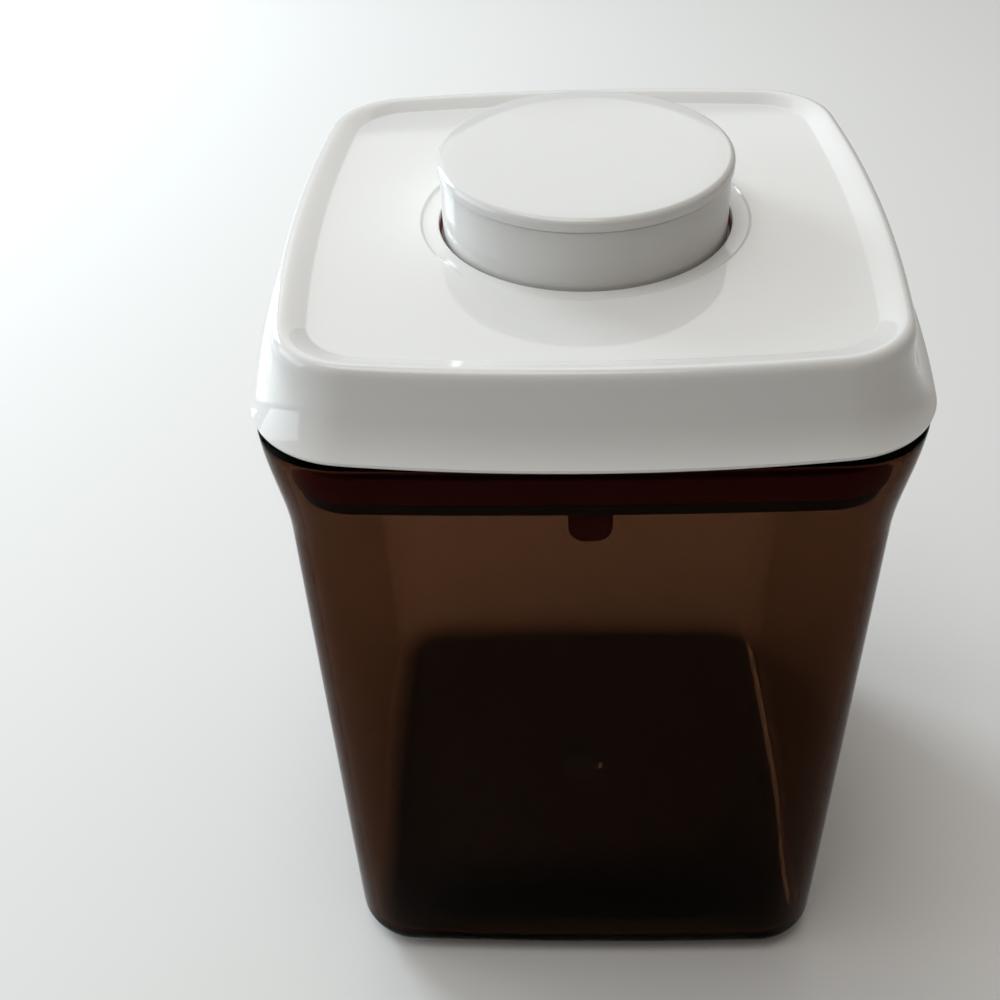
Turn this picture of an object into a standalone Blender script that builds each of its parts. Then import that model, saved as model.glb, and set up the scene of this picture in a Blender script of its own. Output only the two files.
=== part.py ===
"""Airtight food container: a tinted square jar under a push-button lid with an expanding seal.

Metres, +Z up. The origin is on the table, under the middle of the container, and the front faces -Y.
"""

import math

import bmesh
import bpy
from mathutils import Matrix, Vector

# Container
body_half = 0.0638
body_corner = 0.0162
body_bow = 0.0008
body_draft = 0.0003
body_height = 0.1753
wall = 0.0026
floor_thickness = 0.0032
foot_radius = 0.0083
rim_flare = 0.0034
rim_corner = 0.0203
flare_height = 0.0277
gate_ring_radius = 0.0038
gate_ring_width = 0.0010
gate_ring_height = 0.0004

# Lid cover. Heights are over its lower edge, insets are from its full half width, and the
# overhang is past the container's rim
rim_gap = 0.0008
lid_overhang = 0.0028
lid_corner = 0.0220
lid_bow = 0.0031
lid_wall = 0.0022
lid_edge_radius = 0.0014
cove_inset = 0.0054
cove_height = 0.0056
shoulder_inset = 0.0060
shoulder_height = 0.0152
crest_inset = 0.0082
crest_height = 0.0183
crest_lean = 0.0002
crest_width = 0.0013
panel_inset = 0.0131
panel_height = 0.0166
panel_corner = 0.0130
panel_bow = 0.0024
panel_dish_width = 0.0014
panel_dish_rise = 0.0006
lip_width = 0.0039
lip_depth = 0.0005
hole_round = 0.0005
seat_rib_inset = 0.0076
seat_rib_width = 0.0016

# Button, popped up as it stands at rest
button_radius = 0.0308
button_gap = 0.0011
button_rise = 0.0147
button_travel = 0.0135
button_wall = 0.0020
web_thickness = 0.0022
cap_thickness = 0.0026
cap_overhang = 0.0003
cap_round = 0.0010
flange_width = 0.0028
flange_thickness = 0.0016
seal_thickness = 0.0014
seal_width = 0.0037
seal_overhang = 0.0005
seal_fence = 0.0014

# Lid base, plug tray and gasket
base_flange = 0.0018
base_wall = 0.0022
base_floor = 0.0016
floor_clearance = 0.0035
gasket_height = 0.0061
gasket_band = 0.0018
gasket_lip = 0.0012
gasket_lip_reach = 0.0011
gasket_bead = 0.0004
gasket_top_drop = 0.0061
seal_gap = 0.0009
tray_gap = 0.0011
tray_height = 0.0041
tray_floor = 0.0020
tray_rim = 0.0040
tab_width = 0.0088
tab_thickness = 0.0016
tab_length = 0.0072
tab_depth = 0.0046
tab_round = 0.0034
tab_soft_edge = 0.0010

# Pushers and the ramps that drive them
pusher_stroke = 0.0013
pusher_thickness = 0.0024
bar_length = 0.0720
bar_depth = 0.0040
stem_width = 0.0120
stem_flare_start = 0.0340
ramp_radius = 0.0130
ramp_overlap = 0.0015
arm_top = 0.0040
arm_outer_radius = 0.0165
fin_inner_radius = 0.0090
fin_width = 0.0080
rail_width = 0.0016
rail_spacing = 0.0080
rail_start = 0.0220
rail_end = 0.0500

# Plunger, guide post and return spring
plunger_radius = 0.0250
plunger_plate = 0.0018
sleeve_outer_radius = 0.0050
sleeve_inner_radius = 0.0038
post_radius = 0.0034
post_clearance = 0.0005
sleeve_clearance = 0.0008
spring_wire = 0.0010
spring_turns = 8
spring_end_rise = 0.0015
spring_clearance = 0.0006

# Push-push latch: a swinging wire whose tip runs in a heart-shaped groove
latch_angle = math.radians(45)
latch_radius = 0.0196
heart_thickness = 0.0024
heart_width = 0.0110
heart_tail = 0.0030
groove_depth = 0.0015
groove_width = 0.0020
notch_depth = 0.0016
heart_foot = 0.0016
heart_foot_reach = 0.0068
wire_diameter = 0.0012
wire_bend = 0.0009
wire_reach = 0.0090
wire_swing = math.radians(19)
wire_stub = 0.0030
pivot_height = 0.0021
boss_depth = 0.0036
boss_width = 0.0070

# Screws
screw_inset = 0.0218
screw_shank_radius = 0.0014
screw_head_radius = 0.0026
screw_head_height = 0.0018
screw_chamfer = 0.0008
base_screw_length = 0.0062
post_wall = 0.0024
plunger_screw_inset = 0.0092

# Gaps that touching pieces keep, and how finely round forms are cut
touch = 0.0003
overlap = 0.0005
through = 0.0010
turn_steps = 40
screw_steps = 16
curl_points = 10
side_angles = (0, 15, 26)
corner_angles = (33, 37, 41, 45)

# How far the gasket's parts keep from the mouth's wall
band_clear = seal_gap + gasket_band
lip_clear = band_clear + gasket_lip_reach

# Widths and heights that several pieces share
lid_half = body_half + rim_flare + lid_overhang
lid_z = body_height + rim_gap
panel_top = lid_z + panel_height
panel_under = panel_top - lid_wall
hole_radius = button_radius + button_gap
button_top = panel_top + button_rise
web_top = button_top - cap_thickness - touch
web_under = web_top - web_thickness
seal_top = panel_under - touch
flange_top = seal_top - seal_thickness - touch
flange_under = flange_top - flange_thickness
plate_top = web_under - touch
plate_under = plate_top - plunger_plate
post_top = web_under - button_travel - post_clearance
base_flange_under = body_height + touch
base_floor_top = flange_under - button_travel - floor_clearance
base_floor_under = base_floor_top - base_floor
sleeve_under = base_floor_top + button_travel + sleeve_clearance
pusher_top = base_floor_under - touch
pusher_under = pusher_top - pusher_thickness
gasket_top = lid_z - gasket_top_drop
gasket_under = gasket_top - gasket_height
tray_top = gasket_under - touch
tray_under = tray_top - tray_height
tray_floor_top = tray_under + tray_floor
rail_top = pusher_under - touch
ramp_slope = pusher_stroke / button_travel
fin_under = lid_z + arm_top - ramp_overlap
plunger_screw_reach = plunger_radius - plunger_screw_inset
groove_foot = groove_width / 2 + heart_tail
pivot_z = base_floor_top + pivot_height
tip_z = pivot_z + wire_reach
heart_under = tip_z - groove_foot
foot_top = plate_under - touch
foot_under = foot_top - heart_foot

parts = bpy.data.collections.new("airtight_food_container")
helpers = bpy.data.collections.new("cutters")


def clear_scene():
    for obj in list(bpy.data.objects):
        bpy.data.objects.remove(obj)
    for collection in (parts, helpers):
        bpy.context.scene.collection.children.link(collection)


def smooth_step(share):
    share = min(max(share, 0.0), 1.0)
    return share * share * (3 - 2 * share)


def between(start, end, count):
    return [start + (end - start) * i / (count - 1) for i in range(count)]


def bezier(points, count):
    """Points along a Bezier curve of any degree."""
    found = []
    for share in between(0.0, 1.0, count):
        level = [Vector(p) for p in points]
        while len(level) > 1:
            level = [a.lerp(b, share) for a, b in zip(level, level[1:])]
        found.append(tuple(level[0]))
    return found


# Outlines. Every one is cut at the same angles round the axis, so that unlike outlines can be joined
def shared_angles():
    eighth = [math.radians(a) for a in side_angles + corner_angles]
    quarter = eighth + [math.pi / 2 - a for a in eighth[-2:0:-1]]
    return [a + turn * math.pi / 2 for turn in range(4) for a in quarter]


def outline(half, corner, bow):
    """A square with round corners, whose sides are shallow arcs that meet the corners smoothly."""
    flat = half - corner
    side_radius = (flat**2 + bow**2) / (2 * bow)
    side_centre = side_radius - half
    reach = side_radius - corner
    centre = (math.sqrt(2 * reach**2 - side_centre**2) - side_centre) / 2
    turn = math.atan2(
        centre + corner * centre / reach,
        centre + corner * (centre + side_centre) / reach,
    )
    points = []
    for angle in shared_angles():
        folded = angle % (math.pi / 2)
        folded = min(folded, math.pi / 2 - folded)
        if folded < turn:
            across = side_centre * math.sin(folded)
            radius = math.sqrt(side_radius**2 - across**2) - side_centre * math.cos(folded)
        else:
            along = centre * (math.cos(folded) + math.sin(folded))
            radius = along + math.sqrt(corner**2 - 2 * centre**2 + along**2)
        points.append((radius * math.cos(angle), radius * math.sin(angle)))
    return points


def circle(radius):
    return [(radius * math.cos(a), radius * math.sin(a)) for a in shared_angles()]


def lid_outline(half):
    """An outline of the lid, whose corners and sides go from its lower edge's to its panel's."""
    share = (lid_half - half) / panel_inset
    corner = lid_corner + (panel_corner - lid_corner) * share
    return outline(half, corner, lid_bow + (panel_bow - lid_bow) * share)


def body_section(z):
    """Outer half width and corner radius of the container at a height."""
    flare = smooth_step((z - body_height + flare_height) / flare_height)
    lower = max(0.0, (body_height - flare_height - z) / (body_height - flare_height))
    half = body_half - body_draft * lower + rim_flare * flare
    return half, body_corner + (rim_corner - body_corner) * flare


def mouth_outline(z, clearance):
    """An outline that clears the container's inner wall at a height."""
    half, corner = body_section(z)
    return outline(half - wall - clearance, corner - wall - clearance, body_bow)


def mouth_half(z):
    return body_section(z)[0] - wall


# Modelling helpers
def add_object(name, data, collection=parts):
    obj = bpy.data.objects.new(name, data)
    collection.objects.link(obj)
    return obj


def mesh_object(name, bm, collection=parts):
    bmesh.ops.recalc_face_normals(bm, faces=bm.faces)
    mesh = bpy.data.meshes.new(name)
    bm.to_mesh(mesh)
    bm.free()
    return add_object(name, mesh, collection)


def shade(obj, angle=math.radians(35)):
    obj.data.shade_smooth()
    obj.data.set_sharp_from_angle(angle=angle)


def loft(name, rings, ring_shaped=False, collection=parts):
    """Joins outlines at given heights. A ring-shaped one closes on itself, and any other gets two caps."""
    bm = bmesh.new()
    loops = [[bm.verts.new((x, y, z)) for x, y in points] for points, z in rings]
    pairs = list(zip(loops, loops[1:]))
    if ring_shaped:
        pairs.append((loops[-1], loops[0]))
    else:
        bm.faces.new(loops[0])
        bm.faces.new(loops[-1])
    for lower, upper in pairs:
        for i in range(len(lower)):
            j = (i + 1) % len(lower)
            bm.faces.new((lower[i], lower[j], upper[j], upper[i]))
    return mesh_object(name, bm, collection)


def turned(name, profile, ring_shaped=False, steps=turn_steps, collection=parts):
    """Turns a profile of (radius, height) points, given down its outer side, round the Z axis."""
    mesh = bpy.data.meshes.new(name)
    count = len(profile)
    edges = [(i, i + 1) for i in range(count - 1)]
    if ring_shaped:
        edges.append((count - 1, 0))
    mesh.from_pydata([(r, 0, z) for r, z in profile], edges, [])
    obj = add_object(name, mesh, collection)
    screw = obj.modifiers.new("turn", "SCREW")
    screw.steps = steps
    screw.render_steps = steps
    screw.use_merge_vertices = True
    screw.merge_threshold = 0.00001
    return fixed(obj)


def fixed(obj):
    """Replaces an object by the closed mesh that its curve or modifiers give, in place."""
    graph = bpy.context.evaluated_depsgraph_get()
    graph.update()
    mesh = bpy.data.meshes.new_from_object(obj.evaluated_get(graph))
    bm = bmesh.new()
    bm.from_mesh(mesh)
    bmesh.ops.remove_doubles(bm, verts=bm.verts, dist=0.000001)
    bmesh.ops.recalc_face_normals(bm, faces=bm.faces)
    bm.to_mesh(mesh)
    bm.free()
    name = obj.name
    collection = obj.users_collection[0]
    matrix = obj.matrix_basis.copy()
    bpy.data.objects.remove(obj)
    solid = add_object(name, mesh, collection)
    solid.matrix_basis = matrix
    return solid


def plate(name, outlines, thickness, matrix, collection=parts):
    """A flat shape with a thickness, half of it on each side of the plane it is drawn in.

    The first outline is its edge, and any others are holes in it.
    """
    curve = bpy.data.curves.new(name, "CURVE")
    curve.dimensions = "2D"
    curve.fill_mode = "BOTH"
    curve.extrude = thickness / 2
    for points in outlines:
        spline = curve.splines.new("POLY")
        spline.points.add(len(points) - 1)
        for point, (x, y) in zip(spline.points, points):
            point.co = (x, y, 0, 1)
        spline.use_cyclic_u = True
    obj = fixed(add_object(name, curve, collection))
    obj.data.transform(matrix)
    return obj


def bar(name, low, high, turn=0.0, collection=helpers):
    """A box between two corners, turned about the lid's axis."""
    low = Vector(low)
    high = Vector(high)
    bm = bmesh.new()
    bmesh.ops.create_cube(bm, size=1)
    bmesh.ops.scale(bm, vec=high - low, verts=bm.verts)
    bmesh.ops.translate(bm, vec=(low + high) / 2, verts=bm.verts)
    bmesh.ops.rotate(bm, cent=(0, 0, 0), matrix=Matrix.Rotation(turn, 3, "Z"), verts=bm.verts)
    return mesh_object(name, bm, collection)


def rod(name, radius, low, high, place=(0, 0), collection=helpers):
    """An upright cylinder from one height to another."""
    bm = bmesh.new()
    bmesh.ops.create_cone(
        bm,
        cap_ends=True,
        segments=screw_steps,
        radius1=radius,
        radius2=radius,
        depth=high - low,
    )
    bmesh.ops.translate(bm, vec=(place[0], place[1], (low + high) / 2), verts=bm.verts)
    return mesh_object(name, bm, collection)


def boolean(target, other, operation):
    """Cuts another object from the target, or joins it on, and files it with the cutters."""
    for collection in other.users_collection:
        collection.objects.unlink(other)
    helpers.objects.link(other)
    other.hide_render = True
    other.display_type = "WIRE"
    modifier = target.modifiers.new(f"{operation.lower()}_{other.name}", "BOOLEAN")
    modifier.operation = operation
    modifier.solver = "EXACT"
    modifier.object = other


def cut(target, other):
    boolean(target, other, "DIFFERENCE")


def join(target, other):
    boolean(target, other, "UNION")


def rounded_path(points, radius, steps=3):
    """A path of straight runs whose inner corners are rounded."""
    points = [Vector(p) for p in points]
    path = [points[0]]
    for before, corner, after in zip(points, points[1:], points[2:]):
        start = corner + (before - corner).normalized() * radius
        end = corner + (after - corner).normalized() * radius
        path += [Vector(p) for p in bezier((start, corner, end), steps + 1)]
    return path + [points[-1]]


def tube(name, path, diameter, resolution):
    curve = bpy.data.curves.new(name, "CURVE")
    curve.dimensions = "3D"
    curve.bevel_depth = diameter / 2
    curve.bevel_resolution = resolution
    curve.use_fill_caps = True
    spline = curve.splines.new("POLY")
    spline.points.add(len(path) - 1)
    for point, place in zip(spline.points, path):
        point.co = (*place, 1)
    return add_object(name, curve)


def side_frame(turn):
    """Stands a flat outline up: its x runs outwards from the axis at that turn, and its y runs up."""
    upright = Matrix(((1, 0, 0, 0), (0, 0, -1, 0), (0, 1, 0, 0), (0, 0, 0, 1)))
    return Matrix.Rotation(turn, 4, "Z") @ upright


def facing_frame(turn, radius):
    """Stands a flat outline up across the way out from the axis, at a radius: its y runs up."""
    upright = Matrix(((0, 0, 1, radius), (1, 0, 0, 0), (0, 1, 0, 0), (0, 0, 0, 1)))
    return Matrix.Rotation(turn, 4, "Z") @ upright


def offset_outline(points, distance, steps=5):
    """A counter-clockwise outline moved outwards by a distance, or inwards by a negative one.

    Corners that the move would spread get an arc, and the others stay sharp.
    """
    found = []
    count = len(points)
    for i in range(count):
        before, here, after = (Vector(points[(i + step) % count]) for step in (-1, 0, 1))
        coming = (here - before).normalized()
        going = (after - here).normalized()
        first = math.atan2(-coming.x, coming.y)
        turn = math.atan2(coming.cross(going), coming.dot(going))
        if turn * distance > 0:
            for share in between(0.0, turn, steps):
                angle = first + share
                found.append(here + Vector((math.cos(angle), math.sin(angle))) * distance)
        else:
            angle = first + turn / 2
            reach = distance / math.cos(turn / 2)
            found.append(here + Vector((math.cos(angle), math.sin(angle))) * reach)
    return [tuple(point) for point in found]


def polar(radius, turn):
    """A point at a radius from the lid's axis."""
    return radius * math.cos(turn), radius * math.sin(turn)


# Materials: colour, roughness, metallic and how much light passes through
finishes = {
    "smoke_tint": ((0.10, 0.055, 0.028), 0.08, 0.0, 0.85),
    "white_gloss": ((0.84, 0.84, 0.82), 0.15, 0.0, 0.0),
    "white_button": ((0.86, 0.85, 0.83), 0.18, 0.0, 0.0),
    "black_plastic": ((0.018, 0.018, 0.018), 0.45, 0.0, 0.0),
    "grey_acetal": ((0.32, 0.32, 0.33), 0.5, 0.0, 0.0),
    "red_silicone": ((0.42, 0.012, 0.016), 0.45, 0.0, 0.0),
    "steel": ((0.55, 0.55, 0.56), 0.3, 1.0, 0.0),
}


def paint(obj, finish):
    colour, roughness, metallic, transmission = finishes[finish]
    material = bpy.data.materials.new(f"{obj.name}_{finish}")
    material.use_nodes = True
    shader = material.node_tree.nodes["Principled BSDF"]
    shader.inputs["Base Color"].default_value = (*colour, 1)
    shader.inputs["Roughness"].default_value = roughness
    shader.inputs["Metallic"].default_value = metallic
    shader.inputs["Transmission Weight"].default_value = transmission
    obj.data.materials.clear()
    obj.data.materials.append(material)


def parent_to(empty, objects):
    for obj in objects:
        obj.parent = empty
        obj.matrix_parent_inverse = Matrix.Translation(-empty.location)


def axis_empty(name, place):
    empty = add_object(name, None)
    empty.location = place
    return empty


# The container
def container_body():
    rings = []
    inner_foot = foot_radius - wall
    straight_low = max(foot_radius, floor_thickness + inner_foot)
    rim_round = wall / 2

    def outer(z, inset=0.0):
        half, corner = body_section(z)
        return outline(half - inset, corner - inset, body_bow)

    for angle in between(math.pi / 2, 0.0, 6):
        inset = foot_radius * (1 - math.cos(angle))
        z = foot_radius * (1 - math.sin(angle))
        rings.append((outer(z, inset), z))
    for z in between(straight_low, body_height - flare_height, 3)[1:]:
        rings.append((outer(z), z))
    for z in between(body_height - flare_height, body_height - rim_round, 8)[1:]:
        rings.append((outer(z), z))
    for angle in between(math.pi / 4, math.pi * 3 / 4, 3):
        z = body_height - rim_round + rim_round * math.sin(angle)
        rings.append((outer(z, rim_round * (1 - math.cos(angle))), z))
    for z in between(body_height - rim_round, body_height - flare_height, 8):
        rings.append((outer(z, wall), z))
    for z in between(body_height - flare_height, straight_low, 3)[1:-1]:
        rings.append((outer(z, wall), z))
    for angle in between(0.0, math.pi / 2, 5):
        inset = wall + inner_foot * (1 - math.cos(angle))
        z = floor_thickness + inner_foot * (1 - math.sin(angle))
        rings.append((outer(z, inset), z))
    ring_top = floor_thickness + gate_ring_height
    gate_outer = gate_ring_radius + gate_ring_width / 2
    gate_inner = gate_ring_radius - gate_ring_width / 2
    rings.append((circle(gate_outer), floor_thickness))
    rings.append((circle(gate_outer - gate_ring_width / 4), ring_top))
    rings.append((circle(gate_inner + gate_ring_width / 4), ring_top))
    rings.append((circle(gate_inner), floor_thickness))
    obj = loft("container_body", rings)
    shade(obj)
    paint(obj, "smoke_tint")
    return obj


# The lid's white cover
def cover_side():
    """The cover's outer side as (half width, height) points, from its lower edge to the panel's edge."""
    lower_edge = [
        (
            lid_half - lid_edge_radius * (1 - math.cos(angle)),
            lid_z + lid_edge_radius * (1 - math.sin(angle)),
        )
        for angle in between(math.pi / 2, 0.0, 3)
    ]
    cove = (lid_half - cove_inset, lid_z + cove_height)
    shoulder = (lid_half - shoulder_inset, lid_z + shoulder_height)
    crest = (lid_half - crest_inset, lid_z + crest_height)
    round_over = (shoulder[0] - crest_lean, crest[1])
    panel = (lid_half - panel_inset, panel_top)
    crest_hold = (crest[0] - crest_width, crest[1])
    panel_hold = (panel[0] + panel_dish_width, panel[1] + panel_dish_rise)
    flank = bezier((lower_edge[-1], cove, shoulder), 7)
    top = bezier((shoulder, round_over, crest), 5)
    inner = bezier((crest, crest_hold, panel_hold, panel), 6)
    return lower_edge + flank[1:] + top[1:] + inner[1:]


def cover_inside():
    """The inner face of the cover's flank, one wall behind its outer face, from the bottom up."""
    side = [p for p in cover_side()[1:] if p[1] <= lid_z + shoulder_height]
    inside = []
    for before, here, after in zip(side, side[1:], side[2:]):
        run = Vector(after) - Vector(before)
        normal = Vector((-run.y, run.x)).normalized()
        inside.append(tuple(Vector(here) + normal * lid_wall))
    return inside


def inside_half(z):
    """Half width of the cover's inner face at a height."""
    inside = cover_inside()
    for (low_half, low_z), (high_half, high_z) in zip(inside, inside[1:]):
        if z <= high_z:
            break
    share = (z - low_z) / (high_z - low_z)
    return low_half + (high_half - low_half) * share


base_flange_top = base_flange_under + base_flange
flange_half = inside_half(base_flange_top) - touch
rib_under = base_flange_top + touch
rib_outer = lid_half - seat_rib_inset
rib_inner = rib_outer - seat_rib_width
fence_radius = hole_radius - seal_overhang + seal_width + touch


def lid_cover():
    rings = [(lid_outline(half), z) for half, z in cover_side()]
    lip_radius = hole_radius + lip_width
    for share in between(0.0, 1.0, 4):
        radius = lip_radius + (hole_radius + hole_round - lip_radius) * share
        rings.append((circle(radius), panel_top - lip_depth * smooth_step(share)))
    rings.append((circle(hole_radius), panel_top - lip_depth - hole_round))
    rings.append((circle(hole_radius), panel_under))
    rings.append((circle(fence_radius), panel_under))
    fence_under = seal_top - seal_thickness
    rings.append((circle(fence_radius), fence_under))
    rings.append((circle(fence_radius + seal_fence), fence_under))
    rings.append((circle(fence_radius + seal_fence), panel_under))
    rings.append((lid_outline(rib_inner - seat_rib_width), panel_under))
    rings.append((lid_outline(rib_inner), panel_under + seat_rib_width / 2))
    rings.append((lid_outline(rib_inner), rib_under))
    rings.append((lid_outline(rib_outer), rib_under))
    low_inside = [p for p in cover_inside() if p[0] > rib_outer + seat_rib_width / 2]
    rings.append((lid_outline(rib_outer), low_inside[-1][1]))
    rings += [(lid_outline(half), z) for half, z in reversed(low_inside)]
    obj = loft("lid_cover", rings, ring_shaped=True)
    shade(obj, math.radians(24))
    paint(obj, "white_gloss")
    return obj


# The push button, its shell and the ring that it stops against
def button_cap():
    radius = button_radius + cap_overhang
    under = button_top - cap_thickness
    profile = [(0, button_top), (radius - cap_round, button_top)]
    for angle in between(math.pi / 2, 0.0, 5)[1:]:
        profile.append(
            (
                radius - cap_round + cap_round * math.cos(angle),
                button_top - cap_round + cap_round * math.sin(angle),
            )
        )
    profile += [(radius, under), (0, under)]
    obj = turned("button_cap", profile)
    shade(obj)
    paint(obj, "white_button")
    return obj


def button_shell():
    inner = button_radius - button_wall
    profile = [
        (0, web_top),
        (button_radius, web_top),
        (button_radius, flange_top),
        (button_radius + flange_width, flange_top),
        (button_radius + flange_width, flange_under),
        (inner, flange_under),
        (inner, web_under),
        (0, web_under),
    ]
    obj = turned("button_shell", profile)
    for i, turn in enumerate((latch_angle, latch_angle + math.pi)):
        hole = rod(
            f"shell_screw_hole_{i + 1}",
            screw_shank_radius + touch,
            web_under - through,
            web_top + through,
            polar(plunger_screw_reach, turn),
        )
        cut(obj, hole)
    shade(obj)
    paint(obj, "white_button")
    return obj


def button_seal():
    inner = hole_radius - seal_overhang
    profile = [
        (inner + seal_width, seal_top),
        (inner + seal_width, seal_top - seal_thickness),
        (inner, seal_top - seal_thickness),
        (inner, seal_top),
    ]
    obj = turned("button_seal", profile, ring_shaped=True)
    shade(obj)
    paint(obj, "red_silicone")
    return obj


# The plunger under the button, with a sleeve on the guide post and four ramped fins
def fin(name, turn):
    top = plate_under + overlap
    top_radius = ramp_radius + (top - fin_under) * ramp_slope
    points = [
        (fin_inner_radius, fin_under),
        (ramp_radius, fin_under),
        (top_radius, top),
        (fin_inner_radius, top),
    ]
    return plate(name, [points], fin_width, side_frame(turn), helpers)


def plunger():
    profile = [
        (sleeve_inner_radius, plate_top),
        (plunger_radius, plate_top),
        (plunger_radius, plate_under),
        (sleeve_outer_radius, plate_under),
        (sleeve_outer_radius, sleeve_under),
        (sleeve_inner_radius, sleeve_under),
    ]
    obj = turned("plunger", profile, ring_shaped=True)
    for i in range(4):
        join(obj, fin(f"plunger_fin_{i + 1}", i * math.pi / 2))
    for i, turn in enumerate((latch_angle, latch_angle + math.pi)):
        hole = rod(
            f"plunger_screw_hole_{i + 1}",
            screw_shank_radius + touch,
            plate_under - through,
            plate_top + through,
            polar(plunger_screw_reach, turn),
        )
        cut(obj, hole)
    shade(obj)
    paint(obj, "grey_acetal")
    return obj


def screw(name, place, seat, length, head_up):
    """A round-headed screw whose head bears on the seat height. Its shank runs the other way."""
    side = 1 if head_up else -1
    head = seat + side * screw_head_height
    profile = [
        (0, head),
        (screw_head_radius - screw_chamfer, head),
        (screw_head_radius, head - side * screw_chamfer),
        (screw_head_radius, seat),
        (screw_shank_radius, seat),
        (screw_shank_radius, seat - side * length),
        (0, seat - side * length),
    ]
    obj = turned(name, profile if head_up else profile[::-1], steps=screw_steps)
    obj.location = (place[0], place[1], 0)
    shade(obj)
    paint(obj, "steel")
    return obj


def plunger_screws():
    """Both reach up into the shell's web, and one also holds the foot of the heart plate."""
    shank_end = web_top - touch
    screws = []
    for i, seat in enumerate((foot_under - touch, plate_under - touch)):
        place = polar(plunger_screw_reach, latch_angle + i * math.pi)
        screws.append(screw(f"plunger_screw_{i + 1}", place, seat, shank_end - seat, False))
    return screws


def heart_plate():
    """The latch's track: a plate with a heart-shaped groove, and a foot under the plunger."""
    face = latch_radius + heart_thickness
    points = [
        (latch_radius - heart_foot_reach, foot_under),
        (latch_radius, foot_under),
        (latch_radius, heart_under),
        (face, heart_under),
        (face, foot_top),
        (latch_radius - heart_foot_reach, foot_top),
    ]
    obj = plate("heart_plate", [points], heart_width, side_frame(latch_angle))
    side = wire_reach * math.sin(wire_swing)
    rise = button_travel - wire_reach * (1 - math.cos(wire_swing))
    track = [
        (0, tip_z),
        (side, tip_z + rise),
        (0, tip_z + rise - notch_depth),
        (-side, tip_z + rise),
    ]
    groove_middle = face + (through - groove_depth) / 2
    groove = plate(
        "heart_groove",
        [offset_outline(track, groove_width / 2), offset_outline(track, -groove_width / 2)],
        groove_depth + through,
        facing_frame(latch_angle, groove_middle),
        helpers,
    )
    cut(obj, groove)
    hole = rod(
        "heart_foot_hole",
        screw_shank_radius + touch,
        foot_under - through,
        foot_top + through,
        polar(plunger_screw_reach, latch_angle),
    )
    cut(obj, hole)
    paint(obj, "grey_acetal")
    return obj


def latch_wire():
    """A bent wire: a stub in the base's boss, an upright shank, and a tip in the heart's groove."""
    face = latch_radius + heart_thickness
    shank = face + touch + wire_diameter / 2
    tip_end = face - groove_depth + touch
    stub_end = shank + wire_diameter / 2 + touch + wire_stub
    path = [
        (stub_end - shank, 0, 0),
        (0, 0, 0),
        (0, 0, wire_reach),
        (tip_end - shank, 0, wire_reach),
    ]
    obj = tube("latch_wire", rounded_path(path, wire_bend), wire_diameter, 2)
    obj.location = Matrix.Rotation(latch_angle, 3, "Z") @ Vector((shank, 0, pivot_z))
    obj.rotation_euler.z = latch_angle
    paint(obj, "steel")
    return obj


def return_spring():
    """One unbroken coil between the base's floor and the plunger, with a flat turn at each end."""
    low = base_floor_top + touch + spring_wire / 2
    high = plate_under - touch - spring_wire / 2
    rise = high - low - 2 * spring_end_rise
    radius = sleeve_outer_radius + spring_clearance + spring_wire / 2
    path = []
    for i in range(spring_turns * curl_points + 1):
        turn = i / curl_points
        if turn < 1:
            z = low + spring_end_rise * turn
        elif turn > spring_turns - 1:
            z = high - spring_end_rise * (spring_turns - turn)
        else:
            z = low + spring_end_rise + rise * (turn - 1) / (spring_turns - 2)
        angle = turn * 2 * math.pi
        path.append(Vector((radius * math.cos(angle), radius * math.sin(angle), z)))
    least = min(
        (a - b).length
        for i, a in enumerate(path)
        for b in path[i + curl_points // 2 :]
    )
    print(f"return spring: least gap to itself {(least - spring_wire) * 1000:.2f} mm")
    obj = tube("return_spring", path, spring_wire, 1)
    paint(obj, "steel")
    return obj


# The lid's black base: a tub that hangs in the container's mouth
def base_slot(name, turn):
    """The slot in the base's floor for one arm and the fin that drives it."""
    return bar(
        name,
        (fin_inner_radius - touch, -stem_width / 2 - touch, base_floor_under - through),
        (
            arm_outer_radius + pusher_stroke + touch,
            stem_width / 2 + touch,
            base_floor_top + through,
        ),
        turn,
    )


def latch_boss():
    """The block on the base's floor that holds the wire's stub."""
    inner = latch_radius + heart_thickness + wire_diameter + 2 * touch
    half = boss_width / 2
    block = bar(
        "latch_boss",
        (inner, -half, base_floor_top - overlap),
        (inner + boss_depth, half, pivot_z + pivot_height),
        latch_angle,
    )
    bm = bmesh.new()
    bmesh.ops.create_cone(
        bm,
        cap_ends=True,
        segments=screw_steps,
        radius1=wire_diameter / 2 + touch,
        radius2=wire_diameter / 2 + touch,
        depth=boss_depth + 2 * through,
    )
    lay = Matrix.Rotation(latch_angle, 4, "Z") @ Matrix.Translation(
        (inner + boss_depth / 2, 0, pivot_z)
    )
    bmesh.ops.transform(bm, matrix=lay @ Matrix.Rotation(math.pi / 2, 4, "Y"), verts=bm.verts)
    return block, mesh_object("latch_boss_bore", bm, helpers)


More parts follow.
